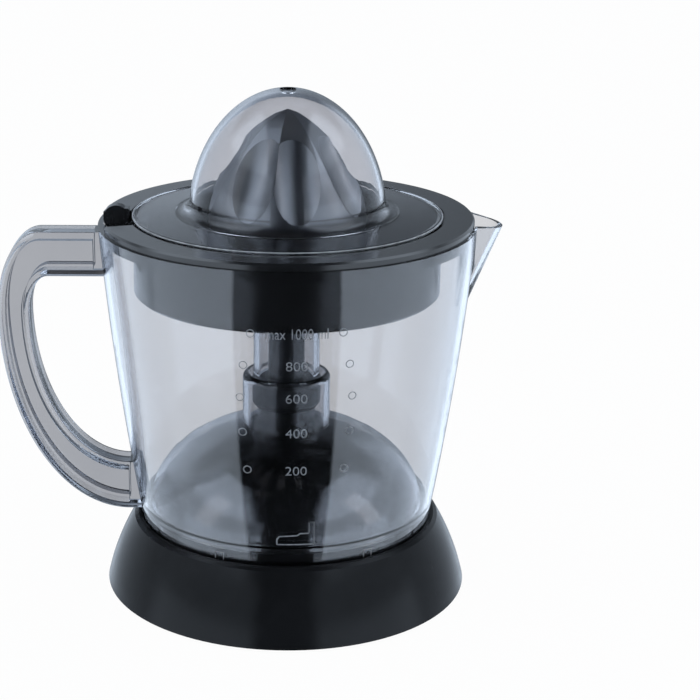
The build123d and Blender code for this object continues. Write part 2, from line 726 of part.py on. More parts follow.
# Jug: wall, foot ring, domed floor and stepped tube in one moulding
spout_tip_x = jug_rim_r + spout_reach
spout_low_z = jug_rim_z - spout_drop
spout_top_z = jug_rim_z + spout_rise
dome_out_z = ellipse_z(tube_low_r, dome_z, jug_dome_r, dome_h)
with BuildPart() as jug:
    with BuildSketch(Plane.XZ):
        with BuildLine():
            wall_mid_z = (collar_z + jug_rim_z) / 2
            in_mid_z = (floor_z + floor_round + jug_rim_z) / 2
            Line((jug_foot_r, seat_z), (jug_foot_r, collar_z))
            ThreePointArc((jug_foot_r, collar_z), (jug_r(wall_mid_z), wall_mid_z), (jug_rim_r, jug_rim_z))
            Line((jug_rim_r, jug_rim_z), (jug_rim_r - jug_wall, jug_rim_z))
            ThreePointArc(
                (jug_rim_r - jug_wall, jug_rim_z),
                (jug_r(in_mid_z) - jug_wall, in_mid_z),
                (jug_r(floor_z + floor_round) - jug_wall, floor_z + floor_round),
            )
            floor_edge_r = jug_r(floor_z + floor_round) - jug_wall
            ThreePointArc(
                (floor_edge_r, floor_z + floor_round),
                (floor_edge_r - floor_round * 0.293, floor_z + floor_round * 0.293),
                (floor_edge_r - floor_round, floor_z),
            )
            rise = math.degrees(math.asin((floor_z - dome_z) / dome_h))
            over = EllipticalCenterArc(
                (0, dome_z), jug_dome_r, dome_h, rise,
                arc_size=ellipse_angle(tube_low_r, jug_dome_r) - rise,
            )
            Line((floor_edge_r - floor_round, floor_z), over @ 0)
            Line(over @ 1, (tube_low_r, shoulder_z - shoulder_round))
            ThreePointArc(
                (tube_low_r, shoulder_z - shoulder_round),
                (tube_low_r - shoulder_round * 0.29, shoulder_z - shoulder_round * 0.29),
                (tube_low_r - shoulder_round, shoulder_z),
            )
            Line((tube_low_r - shoulder_round, shoulder_z), (tube_up_r, shoulder_z))
            Line((tube_up_r, shoulder_z), (tube_up_r, tube_top_z))
            Line((tube_up_r, tube_top_z), (tube_up_in_r, tube_top_z))
            Line((tube_up_in_r, tube_top_z), (tube_up_in_r, shoulder_z - jug_wall))
            Line((tube_up_in_r, shoulder_z - jug_wall), (tube_low_in_r, shoulder_z - jug_wall))
            drop = math.degrees(math.asin((floor_z - jug_wall - dome_z) / jug_dome_in_h))
            under = EllipticalCenterArc(
                (0, dome_z), jug_dome_in_r, jug_dome_in_h, drop,
                arc_size=ellipse_angle(tube_low_in_r, jug_dome_in_r) - drop,
            )
            Line((tube_low_in_r, shoulder_z - jug_wall), under @ 1)
            Line(under @ 0, (foot_in_r, floor_z - jug_wall))
            Line((foot_in_r, floor_z - jug_wall), (foot_in_r, seat_z))
            Line((foot_in_r, seat_z), (jug_foot_r, seat_z))
        make_face()
    revolve(axis=Axis.Z)
    # locating ribs inside the foot ring
    with BuildSketch(Plane.XY.offset(seat_z)):
        with PolarLocations(foot_in_r - rib_depth / 2 + 0.2, rib_count, 30):
            Rectangle(rib_depth + 0.4, rib_w)
    extrude(amount=floor_z - jug_wall - seat_z)
    # beak spout: a round-nosed wedge that grows out of the wall
    with BuildSketch(Plane.XY.offset(spout_low_z)):
        with BuildLine():
            low_r = jug_r(spout_low_z) - 0.2
            Line((low_r - 3.3, -1.8), (low_r - 3.3, 1.8))
            CenterArc((low_r - 1.5, 0), 1.5, -90, 180)
        make_hull()
    with BuildSketch(Plane.XY.offset(spout_top_z)):
        with BuildLine():
            root_x = jug_rim_r - spout_root
            Line((root_x, -spout_half_w), (root_x, spout_half_w))
            CenterArc((spout_tip_x - spout_nose_r, 0), spout_nose_r, -90, 180)
        make_hull()
    loft(ruled=True)
    # its channel
    with BuildSketch(Plane.XY.offset(spout_low_z + 5)):
        with BuildLine():
            low_r = jug_r(spout_low_z + 5) - jug_wall + 0.8
            Line((low_r - 8, -1.2), (low_r - 8, 1.2))
            CenterArc((low_r - 0.8, 0), 0.8, -90, 180)
        make_hull()
    with BuildSketch(Plane.XY.offset(spout_top_z)):
        with BuildLine():
            mouth_w = spout_half_w - spout_wall
            Line((root_x - 4, -mouth_w), (root_x - 4, mouth_w))
            CenterArc((spout_tip_x - spout_nose_r, 0), spout_nose_r - spout_wall, -90, 180)
        make_hull()
    loft(ruled=True, mode=Mode.SUBTRACT)
    # its lip falls a little towards the nose
    with BuildSketch(Plane.XZ.offset(-2 * spout_half_w)):
        with BuildLine():
            Polyline(
                (jug_rim_r - 1, spout_top_z),
                (spout_tip_x + 1, spout_top_z - spout_dip),
                (spout_tip_x + 1, spout_top_z + 1),
                (jug_rim_r - 1, spout_top_z + 1),
                close=True,
            )
        make_face()
    extrude(amount=4 * spout_half_w, mode=Mode.SUBTRACT)
    # room for the strainer's ring above the rim
    with BuildSketch(Plane.XY.offset(jug_rim_z)):
        Circle(ring_r + slide_gap)
    extrude(amount=spout_rise + 1, mode=Mode.SUBTRACT)
jug.part.label = "jug"
export_step(jug.part, "parts/jug.step")

# Handle: side outline of the grip, bonded to the jug at both roots
handle_top_z = jug_rim_z - handle_drop
handle_low_z = collar_z + 1.5
handle_low_x = -jug_foot_r - 5.3
handle_mid_z = handle_low_z + handle_belly


def handle_outline(inset, root_top_x, root_low_x):
    """Closed side outline of the handle, drawn in by the inset, between its two root lines."""
    top = handle_top_z - inset
    under = handle_top_z - handle_end_t + inset
    low = handle_low_z + inset
    upper = handle_low_z + handle_low_t - inset
    corner_x = -handle_reach + handle_corner
    bend_x = -handle_reach + handle_grip + handle_bend
    half_reach = handle_reach + handle_low_x
    Line((root_top_x, under), (root_top_x, top))
    Line((root_top_x, top), (corner_x, top))
    EllipticalCenterArc(
        (corner_x, handle_mid_z), handle_corner - inset, top - handle_mid_z, 90, arc_size=90
    )
    EllipticalCenterArc(
        (handle_low_x, handle_mid_z), half_reach - inset, handle_mid_z - low, 180, arc_size=90
    )
    if root_low_x > handle_low_x:
        Line((handle_low_x, low), (root_low_x, low))
        Line((root_low_x, upper), (handle_low_x, upper))
    Line((root_low_x, low), (root_low_x, upper))
    EllipticalCenterArc(
        (handle_low_x, handle_mid_z), half_reach - handle_grip + inset, handle_mid_z - upper, 270, arc_size=-90
    )
    EllipticalCenterArc(
        (bend_x, handle_mid_z), handle_bend + inset, under - handle_mid_z, 180, arc_size=-90
    )
    Line((bend_x, under), (root_top_x, under))


with BuildPart() as jug_handle:
    with BuildSketch(Plane.XZ.offset(-handle_depth / 2)):
        with BuildLine():
            handle_outline(0, -jug_rim_r + 8, -jug_foot_r + 8)
        make_face()
    extrude(amount=handle_depth)
    fillet(jug_handle.faces().filter_by(Axis.Y).edges(), handle_round)
    for face_y in (-1, 1):
        with BuildSketch(Plane.XZ.offset(-face_y * handle_depth / 2)):
            with BuildLine():
                handle_outline(handle_flange, -jug_rim_r - 2, handle_low_x)
            make_face()
        extrude(amount=face_y * (handle_depth - handle_web) / 2, mode=Mode.SUBTRACT)
    with BuildSketch(Plane.XZ):
        with BuildLine():
            Line((0, seat_z), (jug_foot_r + fit_gap, seat_z))
            Line((jug_foot_r + fit_gap, seat_z), (jug_foot_r + fit_gap, collar_z))
            ThreePointArc(
                (jug_foot_r + fit_gap, collar_z),
                (jug_r(wall_mid_z) + fit_gap, wall_mid_z),
                (jug_rim_r + fit_gap, jug_rim_z),
            )
            Line((jug_rim_r + fit_gap, jug_rim_z), (0, jug_rim_z))
            Line((0, jug_rim_z), (0, seat_z))
        make_face()
    revolve(axis=Axis.Z, mode=Mode.SUBTRACT)
jug_handle.part.label = "jug_handle"
export_step(jug_handle.part, "parts/jug_handle.step")

# Strainer basket: ring, bowl, slotted floor and hub
recess_r = brim_r + 0.9
locate_r = jug_r(jug_rim_z - skirt_drop) - jug_wall - slide_gap
hub_in_r = tube_up_r + loose_gap / 2
hub_r = hub_in_r + hub_wall
roof_low_z = tube_top_z + loose_gap
roof_top_z = roof_low_z + hub_roof_t
bush_r = shaft_r + run_gap + bush_wall
bush_bore_r = bush_r + run_gap
bush_low_z = roof_low_z - 2.0
bush_top_z = bush_low_z + bush_length
slot_outer_r = basket_in_r - riser_t - 1.0
tab_centre_r = locate_r - tab_r + 0.7
riser_half = math.degrees((riser_w / 2 + slide_gap) / (basket_in_r - riser_t - 1.0))
pocket_start = lever_angle - riser_half
pocket_arc = lever_travel + 2 * riser_half
tray_low_z = jug_rim_z - tray_drop
pocket_z = tray_low_z + tray_t
arm_low_z = pocket_z + slide_gap
with BuildPart() as strainer_basket:
    with BuildSketch(Plane.XZ):
        with BuildLine():
            Polyline(
                (ring_r, jug_rim_z),
                (ring_r, ring_top_z - ring_round),
                (ring_r - ring_round, ring_top_z),
                (recess_r, ring_top_z),
                (recess_r, brim_z),
                (basket_in_r, brim_z),
                (basket_in_r, basket_floor_z),
                (hub_r, basket_floor_z),
                (hub_r, roof_top_z),
                (bush_bore_r, roof_top_z),
                (bush_bore_r, roof_low_z),
                (hub_in_r, roof_low_z),
                (hub_in_r, basket_low_z),
                (basket_r - 1.2, basket_low_z),
                (basket_r, basket_low_z + 1.2),
                (basket_r, jug_rim_z),
                (locate_r - skirt_t, jug_rim_z),
                (locate_r - skirt_t, jug_rim_z - skirt_drop),
                (locate_r, jug_rim_z - skirt_drop),
                (locate_r, jug_rim_z),
                close=True,
            )
        make_face()
    revolve(axis=Axis.Z)
    # drain slots in groups of three
    with BuildSketch(Plane.XY.offset(basket_low_z)):
        for offset_angle in (-3.4, 0, 3.4):
            with PolarLocations((slot_inner_r + slot_outer_r) / 2, slot_groups, lever_angle + offset_angle + 12):
                SlotOverall(slot_outer_r - slot_inner_r, slot_w)
    extrude(amount=basket_wall, mode=Mode.SUBTRACT)
    # gap in the locating skirt at the spout
    with BuildSketch(Plane.XY.offset(jug_rim_z - skirt_drop)):
        with Locations((locate_r, 0)):
            Rectangle(12, 2 * spout_half_w)
    extrude(amount=skirt_drop, mode=Mode.SUBTRACT)
    # tray under the lever, then its pocket through the ring and the bowl's wall
    tray_r = locate_r
    with BuildSketch(radial_plane(pocket_start - 1.5)):
        with BuildLine():
            Polyline(
                (basket_r - 0.5, tray_low_z), (tray_r, tray_low_z),
                (tray_r, jug_rim_z + 0.5), (basket_r - 0.5, jug_rim_z + 0.5), close=True,
            )
        make_face()
    revolve(axis=Axis.Z, revolution_arc=pocket_arc + 3)
    with BuildSketch(radial_plane(pocket_start)):
        with BuildLine():
            Polyline(
                (basket_in_r - 1, pocket_z), (ring_r + 1, pocket_z),
                (ring_r + 1, ring_top_z + 1), (basket_in_r - 1, ring_top_z + 1), close=True,
            )
        make_face()
    revolve(axis=Axis.Z, revolution_arc=pocket_arc, mode=Mode.SUBTRACT)
strainer_basket.part.label = "strainer_basket"
export_step(strainer_basket.part, "parts/strainer_basket.step")

# Pulp regulator: disc on the bowl's floor, riser, arm under the brim and upright tab
disc_z = basket_floor_z + slide_gap
disc_r = basket_in_r - 2 * slide_gap
arm_top_z = arm_low_z + arm_t
tab_z = ring_top_z + tab_rise
with BuildPart() as pulp_regulator:
    with BuildSketch(Plane.XY.offset(disc_z)):
        Circle(disc_r)
        Circle(hub_r + slide_gap, mode=Mode.SUBTRACT)
    extrude(amount=disc_t)
    with BuildSketch(Plane.XY.offset(disc_z)):
        for offset_angle in (-3.4, 0, 3.4):
            with PolarLocations((slot_inner_r + slot_outer_r) / 2, slot_groups, lever_angle + offset_angle + 12):
                SlotOverall(slot_outer_r - slot_inner_r, slot_w + slide_gap)
    extrude(amount=disc_t, mode=Mode.SUBTRACT)
    with BuildSketch(Plane.XY.offset(disc_z)):
        with PolarLocations(disc_r - riser_t / 2 - 0.4, 1, lever_angle):
            Rectangle(riser_t, riser_w)
    extrude(amount=arm_top_z - disc_z)
    with BuildSketch(Plane.XY.offset(arm_low_z)):
        with PolarLocations((disc_r - riser_t + tab_centre_r) / 2, 1, lever_angle):
            Rectangle(tab_centre_r - disc_r + riser_t, tab_t)
    extrude(amount=arm_t)
    with BuildSketch(radial_plane(lever_angle).offset(-tab_t / 2)):
        with Locations((tab_centre_r, tab_z)):
            Circle(tab_r)
        with Locations(((recess_r + 0.2 + tab_centre_r) / 2, (arm_low_z + tab_z + tab_r * 0.75) / 2)):
            Rectangle(tab_centre_r - recess_r - 0.2, tab_z + tab_r * 0.75 - arm_low_z)
    extrude(amount=tab_t)
pulp_regulator.part.label = "pulp_regulator"
export_step(pulp_regulator.part, "parts/pulp_regulator.step")

# Sleeve bush that slides in the strainer's hub
with BuildPart() as shaft_bush:
    with BuildSketch(Plane.XY.offset(bush_low_z)):
        Circle(bush_r)
        Circle(shaft_r + run_gap, mode=Mode.SUBTRACT)
    extrude(amount=bush_length)
shaft_bush.part.label = "shaft_bush"
export_step(shaft_bush.part, "parts/shaft_bush.step")

# Drive shaft from the coupling cup up into the reamer
reamer_low_z = bush_top_z
socket_h = reamer_h * 0.64
with BuildPart() as drive_shaft:
    with BuildSketch(Plane.XY.offset(cup_top_z)):
        Circle(shaft_r)
    extrude(amount=reamer_low_z - cup_top_z)
    with BuildSketch(Plane.XY.offset(reamer_low_z)):
        RegularPolygon(shaft_hex / 2 * hex_corner, 6)
    extrude(amount=socket_h - 1)
    with BuildSketch(Plane.XY.offset(cup_top_z)):
        RegularPolygon((pin_hex / 2 + drive_gap) * hex_corner, 6)
    extrude(amount=pin_h + 1, mode=Mode.SUBTRACT)
drive_shaft.part.label = "drive_shaft"
export_step(drive_shaft.part, "parts/drive_shaft.step")

# Reamer cone: eight sides near the tip, oval scoops in pairs, hollow below around its socket
socket_r = shaft_hex / 2 * hex_corner + fit_gap + reamer_wall
hollow_r = reamer_r - flute_depth - reamer_wall
flute_lift = flute_r - flute_depth
with BuildPart() as reamer_cone:
    with BuildSketch(Plane.XZ):
        with BuildLine():
            base_point = (reamer_r, reamer_low_z)
            apex = (0, reamer_low_z + reamer_h)
            Line((0, reamer_low_z), base_point)
            Spline(
                base_point,
                (reamer_r * 0.975, reamer_low_z + reamer_h * 0.27),
                (reamer_r * 0.861, reamer_low_z + reamer_h * 0.50),
                (reamer_r * 0.604, reamer_low_z + reamer_h * 0.733),
                (reamer_r * 0.347, reamer_low_z + reamer_h * 0.886),
                (reamer_r * 0.149, reamer_low_z + reamer_h * 0.977),
                apex,
                tangents=((0, 1), (-1, 0)),
            )
            Line(apex, (0, reamer_low_z))
        make_face()
    revolve(axis=Axis.Z)
    # the sides near the tip meet in ribs
    for turn in range(4):
        with BuildSketch(radial_plane(flute_turn + 22.5 + 45 * turn).offset(-2 * reamer_r)):
            with BuildLine():
                for side in (-1, 1):
                    Spline(
                        (side * reamer_r * 1.03, reamer_low_z),
                        (side * reamer_r, reamer_low_z + reamer_h * 0.27),
                        (side * reamer_r * 0.838, reamer_low_z + reamer_h * 0.50),
                        (side * reamer_r * 0.565, reamer_low_z + reamer_h * 0.733),
                        (side * reamer_r * 0.322, reamer_low_z + reamer_h * 0.880),
                        (side * reamer_r * 0.138, reamer_low_z + reamer_h * 0.955),
                        (0, reamer_low_z + reamer_h * 0.989),
                        tangents=((0, 1), (-side, 0.4)),
                    )
                Line((-reamer_r * 1.03, reamer_low_z), (reamer_r * 1.03, reamer_low_z))
            make_face()
        extrude(amount=4 * reamer_r, mode=Mode.INTERSECT)
    # scoops that run out above and below
    flute_angles = [quarter * 90 + flute_turn + side * flute_pair for quarter in range(4) for side in (-1, 1)]
    for angle in flute_angles:
        with BuildLine(radial_plane(angle)) as flute_path:
            ThreePointArc(
                (reamer_r * 0.955 + flute_r * 0.98, reamer_low_z + reamer_h * 0.33 + flute_r * 0.196),
                (reamer_r * 0.824 + flute_lift * 0.89, reamer_low_z + reamer_h * 0.545 + flute_lift * 0.454),
                (reamer_r * 0.502 + flute_r * 0.73, reamer_low_z + reamer_h * 0.80 + flute_r * 0.68),
            )
        with BuildSketch(Plane(origin=flute_path.line @ 0, z_dir=flute_path.line % 0)):
            Circle(flute_r)
        sweep(path=flute_path.line, mode=Mode.SUBTRACT)
    with BuildSketch(Plane.XZ):
        with BuildLine():
            Polyline(
                (socket_r, reamer_low_z),
                (hollow_r, reamer_low_z),
                (hollow_r * 0.80, reamer_low_z + reamer_h * 0.45),
                (socket_r + 0.5, reamer_low_z + reamer_h * 0.63),
                (socket_r, reamer_low_z + reamer_h * 0.63),
                close=True,
            )
        make_face()
    revolve(axis=Axis.Z, mode=Mode.SUBTRACT)
    with BuildSketch(Plane.XY.offset(reamer_low_z)):
        RegularPolygon((shaft_hex / 2 + fit_gap) * hex_corner, 6)
    extrude(amount=socket_h, mode=Mode.SUBTRACT)
reamer_cone.part.label = "reamer_cone"
export_step(reamer_cone.part, "parts/reamer_cone.step")

# Lid: dome with a dimple on top, flared foot and flat brim with a bead
lid_z = ring_top_z - lid_drop
lid_r = reamer_r + lid_side_gap + lid_wall
lid_h = reamer_low_z + reamer_h + lid_head_gap + lid_wall - lid_z
flare_r = lid_r + lid_flare
flare_z = brim_z + brim_t + brim_rise
join_z = flare_z + lid_flare
with BuildPart() as lid:
    with BuildSketch(Plane.XZ):
        with BuildLine():
            start = math.degrees(math.asin((join_z - lid_z) / lid_h))
            outer = EllipticalCenterArc((0, lid_z), lid_r, lid_h, start, arc_size=90 - start)
            start = math.degrees(math.asin((join_z - lid_z) / (lid_h - lid_wall)))
            inner = EllipticalCenterArc(
                (0, lid_z), lid_r - lid_wall, lid_h - lid_wall, start, arc_size=90 - start
            )
            outer_bend = ((outer @ 0).X + lid_flare * 0.25, flare_z + lid_flare * 0.27)
            inner_bend = ((inner @ 0).X + lid_flare * 0.32, flare_z - brim_t + lid_flare * 0.34)
            bead_top_z = brim_z + brim_t + bead_rise
            Line((brim_r, brim_z), (brim_r, bead_top_z - bead_r))
            ThreePointArc(
                (brim_r, bead_top_z - bead_r),
                (brim_r - bead_r * 0.293, bead_top_z - bead_r * 0.293),
                (brim_r - bead_r, bead_top_z),
            )
            Line((brim_r - bead_r, bead_top_z), (brim_r - 2 * bead_r, brim_z + brim_t))
            Line((brim_r - 2 * bead_r, brim_z + brim_t), (flare_r, flare_z))
            ThreePointArc((flare_r, flare_z), outer_bend, outer @ 0)
            Line(outer @ 1, inner @ 1)
            ThreePointArc(inner @ 0, inner_bend, (flare_r, flare_z - brim_t))
            Line((flare_r, flare_z - brim_t), (brim_r, brim_z))
        make_face()
    revolve(axis=Axis.Z)
    with BuildSketch(Plane.XY.offset(lid_z + lid_h)):
        Circle(dimple_r)
    extrude(amount=-dimple_depth, mode=Mode.SUBTRACT)
lid.part.label = "lid"
export_step(lid.part, "parts/lid.step")
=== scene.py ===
import math

import bmesh
import bpy
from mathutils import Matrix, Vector


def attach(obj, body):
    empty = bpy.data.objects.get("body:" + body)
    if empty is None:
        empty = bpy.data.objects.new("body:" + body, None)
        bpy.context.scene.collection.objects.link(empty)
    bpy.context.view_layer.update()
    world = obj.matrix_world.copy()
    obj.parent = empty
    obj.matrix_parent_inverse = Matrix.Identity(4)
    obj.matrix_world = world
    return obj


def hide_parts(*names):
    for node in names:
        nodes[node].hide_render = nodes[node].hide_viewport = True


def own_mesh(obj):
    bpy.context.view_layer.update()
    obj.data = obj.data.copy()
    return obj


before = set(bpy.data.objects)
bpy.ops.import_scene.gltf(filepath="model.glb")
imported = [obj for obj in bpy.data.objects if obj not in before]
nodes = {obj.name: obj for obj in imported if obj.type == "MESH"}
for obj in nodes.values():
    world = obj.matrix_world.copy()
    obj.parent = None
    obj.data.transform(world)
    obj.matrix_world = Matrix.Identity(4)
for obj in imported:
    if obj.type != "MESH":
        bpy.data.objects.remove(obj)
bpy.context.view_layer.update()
scene = bpy.context.scene

# Camera at the photograph's viewing angle
camera_data = bpy.data.cameras.new("camera")
camera_data.sensor_width = 36.0
camera_data.lens = 96.508
camera_data.shift_x = 0.1339
camera_data.shift_y = 0.0148
camera_data.clip_start = 0.01
camera = bpy.data.objects.new("camera", camera_data)
camera.location = (0.0, -0.7395, 0.3428)
camera.rotation_euler = (math.radians(71.5526), 0.0, math.radians(0.9736))
scene.collection.objects.link(camera)
scene.camera = camera
scene.view_settings.view_transform = "Standard"


# Node helpers
def new_material(name):
    """An empty node material and its node tree."""
    material = bpy.data.materials.new(name)
    material.use_nodes = True
    tree = material.node_tree
    tree.nodes.clear()
    return material, tree


def add(tree, kind, **values):
    """A node of that kind, with its properties and the defaults of its inputs."""
    node = tree.nodes.new(kind)
    for key, value in values.items():
        if key.startswith("in_"):
            node.inputs[key[3:].replace("_", " ")].default_value = value
        else:
            setattr(node, key, value)
    return node


def join(tree, a, a_out, b, b_in):
    """A link from one node's output to another's input."""
    tree.links.new(a.outputs[a_out], b.inputs[b_in])


def noise(tree, place, scale, detail=4.0, rough=0.55):
    """A noise texture in the object's own metres."""
    node = add(tree, "ShaderNodeTexNoise", in_Scale=scale, in_Detail=detail, in_Roughness=rough)
    join(tree, place, "Object", node, "Vector")
    return node


def ramp(tree, source, out, low, high, start=0.35, end=0.65):
    """A colour ramp between two colours."""
    node = add(tree, "ShaderNodeValToRGB")
    node.color_ramp.elements[0].position = start
    node.color_ramp.elements[0].color = (*low, 1.0)
    node.color_ramp.elements[1].position = end
    node.color_ramp.elements[1].color = (*high, 1.0)
    join(tree, source, out, node, "Fac")
    return node


def spread(tree, source, out, low, high):
    """A number mapped from a noise to a narrow range."""
    node = add(tree, "ShaderNodeMapRange")
    node.inputs["From Min"].default_value = 0.3
    node.inputs["From Max"].default_value = 0.7
    node.inputs["To Min"].default_value = low
    node.inputs["To Max"].default_value = high
    join(tree, source, out, node, "Value")
    return node


def moulded(name, dark, light, rough, grain=2600.0, bump=0.02, clouds=45.0, metal=0.0, ior=1.5):
    """Moulded plastic, rubber or metal with cloudy colour, uneven gloss and a fine grain."""
    material, tree = new_material(name)
    place = add(tree, "ShaderNodeTexCoord")
    shade = add(tree, "ShaderNodeBsdfPrincipled", in_Metallic=metal, in_IOR=ior)
    tone = ramp(tree, noise(tree, place, clouds), "Fac", dark, light)
    join(tree, tone, "Color", shade, "Base Color")
    gloss = spread(tree, noise(tree, place, clouds * 4.0, 6.0), "Fac", *rough)
    join(tree, gloss, "Result", shade, "Roughness")
    relief = add(tree, "ShaderNodeBump", in_Strength=bump, in_Distance=0.0004)
    join(tree, noise(tree, place, grain, 3.0), "Fac", relief, "Height")
    join(tree, relief, "Normal", shade, "Normal")
    end = add(tree, "ShaderNodeOutputMaterial")
    join(tree, shade, "BSDF", end, "Surface")
    return material


def smoky(name, tint, deep, rough=(0.0, 0.008), wave=0.02, ior=1.49):
    """Smoky clear plastic that lamps shine through, with faint flow waves."""
    material, tree = new_material(name)
    place = add(tree, "ShaderNodeTexCoord")
    shade = add(tree, "ShaderNodeBsdfPrincipled", in_IOR=ior)
    shade.inputs["Transmission Weight"].default_value = 1.0
    tone = ramp(tree, noise(tree, place, 14.0, 3.0), "Fac", deep, tint)
    join(tree, tone, "Color", shade, "Base Color")
    gloss = spread(tree, noise(tree, place, 90.0, 5.0), "Fac", *rough)
    join(tree, gloss, "Result", shade, "Roughness")
    relief = add(tree, "ShaderNodeBump", in_Strength=wave, in_Distance=0.0006)
    join(tree, noise(tree, place, 60.0, 2.0), "Fac", relief, "Height")
    join(tree, relief, "Normal", shade, "Normal")
    light = add(tree, "ShaderNodeBsdfTransparent")
    light.inputs["Color"].default_value = (*tint, 1.0)
    path = add(tree, "ShaderNodeLightPath")
    blend = add(tree, "ShaderNodeMixShader")
    join(tree, path, "Is Shadow Ray", blend, 0)
    tree.links.new(shade.outputs["BSDF"], blend.inputs[1])
    tree.links.new(light.outputs["BSDF"], blend.inputs[2])
    end = add(tree, "ShaderNodeOutputMaterial")
    join(tree, blend, "Shader", end, "Surface")
    return material


def wound(name):
    """Lacquered copper winding, with fine turns up its height."""
    material, tree = new_material(name)
    place = add(tree, "ShaderNodeTexCoord")
    shade = add(tree, "ShaderNodeBsdfPrincipled", in_Metallic=0.85)
    turns = add(tree, "ShaderNodeTexWave", bands_direction="Z", in_Scale=420.0)
    turns.inputs["Distortion"].default_value = 1.5
    turns.inputs["Detail"].default_value = 2.0
    join(tree, place, "Object", turns, "Vector")
    tone = ramp(tree, turns, "Fac", (0.20, 0.07, 0.03), (0.62, 0.28, 0.13), 0.1, 0.8)
    join(tree, tone, "Color", shade, "Base Color")
    gloss = spread(tree, noise(tree, place, 200.0), "Fac", 0.28, 0.42)
    join(tree, gloss, "Result", shade, "Roughness")
    relief = add(tree, "ShaderNodeBump", in_Strength=0.4, in_Distance=0.0003)
    join(tree, turns, "Fac", relief, "Height")
    join(tree, relief, "Normal", shade, "Normal")
    end = add(tree, "ShaderNodeOutputMaterial")
    join(tree, shade, "BSDF", end, "Surface")
    return material


# Materials of the solids
black_base = moulded(
    "black_base", (0.0075, 0.0078, 0.0085), (0.0105, 0.0108, 0.0118), (0.16, 0.24), bump=0.012
)
black_ring = moulded(
    "black_ring", (0.0085, 0.0088, 0.0095), (0.012, 0.0125, 0.0135), (0.13, 0.2), bump=0.012
)
black_lever = moulded(
    "black_lever", (0.007, 0.007, 0.0075), (0.010, 0.010, 0.011), (0.22, 0.3), bump=0.02
)
black_reamer = moulded(
    "black_reamer", (0.010, 0.0105, 0.012), (0.016, 0.017, 0.019), (0.30, 0.36), bump=0.004, ior=2.3
)
black_matte = moulded(
    "black_matte", (0.016, 0.016, 0.017), (0.024, 0.024, 0.025), (0.45, 0.6), bump=0.12
)
grey_drive = moulded(
    "grey_drive", (0.028, 0.030, 0.034), (0.038, 0.040, 0.045), (0.26, 0.36), bump=0.03
)
soft_rubber = moulded(
    "soft_rubber", (0.014, 0.014, 0.014), (0.022, 0.022, 0.022), (0.62, 0.8), 1800.0, 0.2
)
steel = moulded(
    "steel", (0.48, 0.48, 0.49), (0.60, 0.60, 0.61), (0.24, 0.36), 3500.0, 0.05, 120.0, 1.0
)
brass = moulded(
    "brass", (0.55, 0.40, 0.17), (0.70, 0.54, 0.25), (0.24, 0.36), 3000.0, 0.05, 120.0, 1.0
)
nylon = moulded("nylon", (0.70, 0.69, 0.65), (0.80, 0.79, 0.75), (0.38, 0.5), 1500.0, 0.06)
copper = wound("copper")
clear_jug = smoky("clear_jug", (0.72, 0.726, 0.748), (0.70, 0.706, 0.727))
clear_handle = smoky("clear_handle", (0.45, 0.465, 0.50), (0.39, 0.405, 0.44), wave=0.05)
clear_lid = smoky("clear_lid", (0.71, 0.72, 0.755), (0.65, 0.66, 0.695), ior=1.3)
# Raised marks on the clear jug: the relief is real, its pale colour a painted highlight for the light
# the relief catches
mark_painted_highlight = moulded(
    "mark_painted_highlight", (0.17, 0.175, 0.185), (0.34, 0.35, 0.37), (0.25, 0.35), 2000.0, 0.03, 700.0
)
# Pale colour of the painted highlight along the lid's brim edge
edge_painted_highlight = moulded(
    "edge_painted_highlight", (0.26, 0.265, 0.275), (0.50, 0.51, 0.53), (0.2, 0.3), 2000.0, 0.03, 260.0
)
# A darker copy for the post of the L mark: painted shade on the same moulded relief
mark_painted_shade = moulded(
    "mark_painted_shade", (0.07, 0.072, 0.077), (0.12, 0.124, 0.13), (0.25, 0.35), 2000.0, 0.03, 700.0
)

material_of = {
    "base_housing": black_base, "base_plate": black_matte, "rubber_feet": soft_rubber,
    "centre_pad": soft_rubber, "plate_screws": steel,
    "cord_gland": soft_rubber, "gearbox_plate": nylon, "gearbox_screws": steel, "plate_bush": brass,
    "spindle_bush": brass, "motor_can": steel, "motor_coil": copper, "idler_axle": steel,
    "switch_body": black_matte, "return_spring": steel, "motor_rotor": steel, "motor_pinion": brass,
    "idler_gear": nylon, "spring_seat": nylon, "thrust_washer": steel, "drive_spindle": grey_drive,
    "output_gear": nylon, "gear_clip": steel, "coupling_cup": grey_drive, "switch_plunger": nylon,
    "jug": clear_jug, "jug_handle": clear_handle, "strainer_basket": black_ring,
    "pulp_regulator": black_lever, "shaft_bush": nylon, "reamer_cone": black_reamer,
    "drive_shaft": grey_drive, "lid": clear_lid,
}

# The base is polished where the jug covers it and duller on its skirt
skirt_top_z, polish_low_z = 0.033, 0.036
skirt_ior, polish_ior = 1.2, 1.75
tree = black_base.node_tree
shade = next(node for node in tree.nodes if node.type == "BSDF_PRINCIPLED")
place = add(tree, "ShaderNodeTexCoord")
axes = add(tree, "ShaderNodeSeparateXYZ")
join(tree, place, "Object", axes, "Vector")
polish = add(tree, "ShaderNodeMapRange")
polish.inputs["From Min"].default_value = skirt_top_z
polish.inputs["From Max"].default_value = polish_low_z
polish.inputs["To Min"].default_value = skirt_ior
polish.inputs["To Max"].default_value = polish_ior
join(tree, axes, "Z", polish, "Value")
join(tree, polish, "Result", shade, "IOR")

for node_name, solid in nodes.items():
    material = material_of[node_name]
    solid.data.materials.clear()
    solid.data.materials.append(material)


# Marks on the jug's front wall, in millimetres: u runs round the wall and z up it
MM = 0.001
marks_u = 3.9
foot_r, rim_r, foot_z, rim_z, bulge = 60.7, 76.6, 30.6, 155.5, 1.5
figure_lift, figure_stand, bead_lift = 0.14, 4.0, 0.05
dot_r, dot_bead, dot_steps = 1.5, 0.18, 28
lock_bead, post_bead, lug_bead = 0.26, 0.2, 0.2
lug_half, lug_low_z, lug_top_z = 1.8, 31.0, 34.2
# Figures as shares of their type size: strokes thinned, thickness and rounded edges
stroke_thin, stroke_deep, stroke_round = -0.018, 0.03, 0.008


